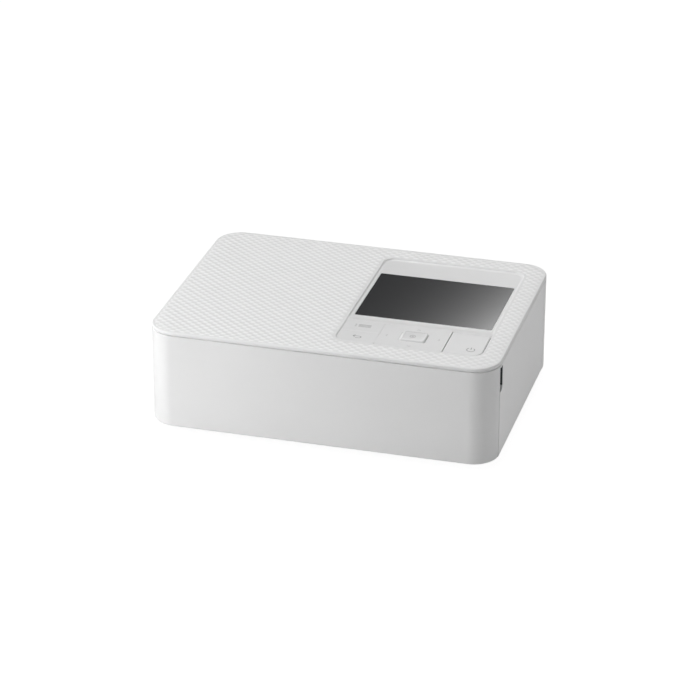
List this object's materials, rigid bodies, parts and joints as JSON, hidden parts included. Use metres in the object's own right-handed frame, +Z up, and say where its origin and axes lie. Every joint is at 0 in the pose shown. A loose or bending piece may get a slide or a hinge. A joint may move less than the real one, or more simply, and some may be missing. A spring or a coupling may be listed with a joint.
{
  "type": "compact photo printer",
  "caption": "Compact tabletop photo printer with a hinged front cover, side ribbon door, display window, key field and a textured top.",
  "frame": {"origin": "centre of the footprint, on the table", "axes": "X right seen from the front, Y from the front cover to the back, Z up"},
  "size_m": [0.1822, 0.133, 0.0576],
  "materials": {
    "shell_white": "satin",
    "key_white": "satin",
    "window_black": "polished",
    "frame_grey": "matte",
    "base_grey": "matte",
    "rubber": "matte",
    "sheet_steel": "satin",
    "board_green": "satin",
    "chip_black": "matte",
    "brass": "satin",
    "gear_white": "satin",
    "head_aluminium": "satin",
    "head_ceramic": "polished",
    "cassette_grey": "satin",
    "ribbon_yellow": "polished",
    "ribbon_used": "polished",
    "lever_orange": "satin",
    "cable_cream": "satin"
  },
  "bodies": {
    "chassis": {"base_tray": "base_grey", "rubber_feet": "rubber", "side_shell": "shell_white", "top_cover": "shell_white", "control_panel": "key_white", "display_window": "window_black", "display_module": "base_grey", "key_board": "board_green", "front_frame": "frame_grey", "cassette_tunnel": "frame_grey", "left_side_plate": "sheet_steel", "right_side_plate": "sheet_steel", "cross_frame": "sheet_steel", "motor_bracket": "sheet_steel", "gear_posts": "sheet_steel", "rear_paper_guide": "frame_grey", "main_board": "board_green", "board_parts": "chip_black", "card_socket": "sheet_steel", "usb_socket": "sheet_steel", "power_inlet": "base_grey", "fan_frame": "base_grey", "main_motor": "sheet_steel", "ribbon_motor": "sheet_steel", "roller_bushes": "brass", "head_pivot_shaft": "sheet_steel", "head_springs": "sheet_steel", "front_hinge_pins": "sheet_steel", "ribbon_door_pins": "sheet_steel", "case_screws": "sheet_steel", "flat_cables": "cable_cream"},
    "front_door": {"front_cover": "shell_white"},
    "side_door": {"ribbon_door": "shell_white"},
    "capstan": {"capstan_roller": "sheet_steel", "capstan_gear": "gear_white"},
    "pinch": {"pinch_roller": "rubber"},
    "platen": {"platen_roller": "rubber"},
    "pickup": {"pickup_roller": "rubber", "pickup_gear": "gear_white"},
    "idler": {"idler_gear": "gear_white"},
    "reduction": {"reduction_gear": "gear_white"},
    "main_pinion": {"motor_pinion": "brass"},
    "takeup_drive": {"takeup_spindle": "gear_white"},
    "ribbon_drive_pinion": {"ribbon_pinion": "brass"},
    "supply_brake": {"supply_spindle": "gear_white"},
    "cassette": {"ribbon_cassette": "cassette_grey", "ribbon_film": "ribbon_yellow"},
    "supply_roll": {"supply_spool": "ribbon_yellow"},
    "takeup_roll": {"takeup_spool": "ribbon_used"},
    "lever": {"eject_lever": "lever_orange"},
    "head": {"print_head": "head_aluminium", "head_element": "head_ceramic", "head_arms": "sheet_steel"},
    "cam": {"head_cam_shaft": "sheet_steel"},
    "fan": {"fan_rotor": "chip_black"},
    "menu_button": {"menu_key": "key_white"},
    "back_button": {"back_key": "key_white"},
    "nav_button": {"nav_pad": "key_white"},
    "ok_button": {"ok_key": "key_white"},
    "power_button": {"power_key": "key_white"}
  },
  "joints": [
    {"name": "front_cover_hinge", "type": "hinge", "parent": "chassis", "child": "front_door", "pos_m": [0, -0.0602, 0.008], "axis": [1, 0, 0], "range_deg": [0, 90]},
    {"name": "ribbon_door_hinge", "type": "hinge", "parent": "chassis", "child": "side_door", "pos_m": [0.0866, 0, 0.0062], "axis": [0, 1, 0], "range_deg": [0, 90]},
    {"name": "capstan_spin", "type": "hinge", "parent": "chassis", "child": "capstan", "pos_m": [0, -0.015, 0.0158], "axis": [1, 0, 0], "continuous": true},
    {"name": "pinch_spin", "type": "hinge", "parent": "chassis", "child": "pinch", "pos_m": [0, -0.015, 0.0232], "axis": [1, 0, 0], "continuous": true},
    {"name": "platen_spin", "type": "hinge", "parent": "chassis", "child": "platen", "pos_m": [0, 0.022, 0.0128], "axis": [1, 0, 0], "continuous": true},
    {"name": "pickup_spin", "type": "hinge", "parent": "chassis", "child": "pickup", "pos_m": [0, -0.028, 0.031], "axis": [1, 0, 0], "continuous": true},
    {"name": "idler_spin", "type": "hinge", "parent": "chassis", "child": "idler", "pos_m": [0, -0.0302, 0.01596], "axis": [1, 0, 0], "continuous": true},
    {"name": "reduction_spin", "type": "hinge", "parent": "chassis", "child": "reduction", "pos_m": [0, -0.00523, 0.02744], "axis": [1, 0, 0], "continuous": true},
    {"name": "motor_spin", "type": "hinge", "parent": "chassis", "child": "main_pinion", "pos_m": [0, -0.02603, 0.02744], "axis": [1, 0, 0], "continuous": true},
    {"name": "takeup_drive_spin", "type": "hinge", "parent": "chassis", "child": "takeup_drive", "pos_m": [0, 0.002, 0.033], "axis": [1, 0, 0], "continuous": true},
    {"name": "ribbon_motor_spin", "type": "hinge", "parent": "chassis", "child": "ribbon_drive_pinion", "pos_m": [0, 0.01447, 0.0402], "axis": [1, 0, 0], "continuous": true},
    {"name": "supply_brake_spin", "type": "hinge", "parent": "chassis", "child": "supply_brake", "pos_m": [0, 0.044, 0.033], "axis": [1, 0, 0], "continuous": true},
    {"name": "cassette_eject", "type": "slide", "parent": "chassis", "child": "cassette", "axis": [1, 0, 0], "range_m": [0, 0.006]},
    {"name": "supply_roll_spin", "type": "hinge", "parent": "cassette", "child": "supply_roll", "pos_m": [0, 0.044, 0.033], "axis": [1, 0, 0], "continuous": true},
    {"name": "takeup_roll_spin", "type": "hinge", "parent": "cassette", "child": "takeup_roll", "pos_m": [0, 0.002, 0.033], "axis": [1, 0, 0], "continuous": true},
    {"name": "eject_lever_pivot", "type": "hinge", "parent": "chassis", "child": "lever", "pos_m": [0.0667, -0.02425, 0.0377], "axis": [0, 0, -1], "range_deg": [0, 25.1]},
    {"name": "head_lift", "type": "hinge", "parent": "chassis", "child": "head", "pos_m": [0, 0.052, 0.0475], "axis": [1, 0, 0], "range_deg": [0, 4.5], "stiffness_Nm_per_rad": 0.1, "springref_deg": -28.65},
    {"name": "cam_turn", "type": "hinge", "parent": "chassis", "child": "cam", "pos_m": [0, 0.06, 0.04275], "axis": [1, 0, 0], "range_deg": [0, 60]},
    {"name": "fan_spin", "type": "hinge", "parent": "chassis", "child": "fan", "pos_m": [-0.0643, 0, 0.0372], "axis": [0, 1, 0], "continuous": true},
    {"name": "menu_key_press", "type": "slide", "parent": "chassis", "child": "menu_button", "axis": [0, 0, -1], "range_m": [0, 0.0004], "stiffness_N_per_m": 150},
    {"name": "back_key_press", "type": "slide", "parent": "chassis", "child": "back_button", "axis": [0, 0, -1], "range_m": [0, 0.0004], "stiffness_N_per_m": 150},
    {"name": "nav_key_press", "type": "slide", "parent": "chassis", "child": "nav_button", "axis": [0, 0, -1], "range_m": [0, 0.0004], "stiffness_N_per_m": 150},
    {"name": "ok_key_press", "type": "slide", "parent": "chassis", "child": "ok_button", "axis": [0, 0, -1], "range_m": [0, 0.0004], "stiffness_N_per_m": 150},
    {"name": "power_key_press", "type": "slide", "parent": "chassis", "child": "power_button", "axis": [0, 0, -1], "range_m": [0, 0.0004], "stiffness_N_per_m": 150}
  ],
  "couplings": [
    {"joint": "pinch_spin", "follows": "capstan_spin", "ratio": -1},
    {"joint": "platen_spin", "follows": "capstan_spin", "ratio": 0.53846},
    {"joint": "pickup_spin", "follows": "capstan_spin", "ratio": 1},
    {"joint": "idler_spin", "follows": "capstan_spin", "ratio": -1.375},
    {"joint": "reduction_spin", "follows": "capstan_spin", "ratio": -1.375},
    {"joint": "motor_spin", "follows": "capstan_spin", "ratio": 3.0938},
    {"joint": "ribbon_motor_spin", "follows": "takeup_drive_spin", "ratio": -1.25},
    {"joint": "takeup_roll_spin", "follows": "takeup_drive_spin", "ratio": 1},
    {"joint": "supply_roll_spin", "follows": "supply_brake_spin", "ratio": 1},
    {"joint": "eject_lever_pivot", "follows": "cassette_eject", "rad_per_m": 72.727},
    {"joint": "cam_turn", "follows": "head_lift", "ratio": 13.333}
  ]
}
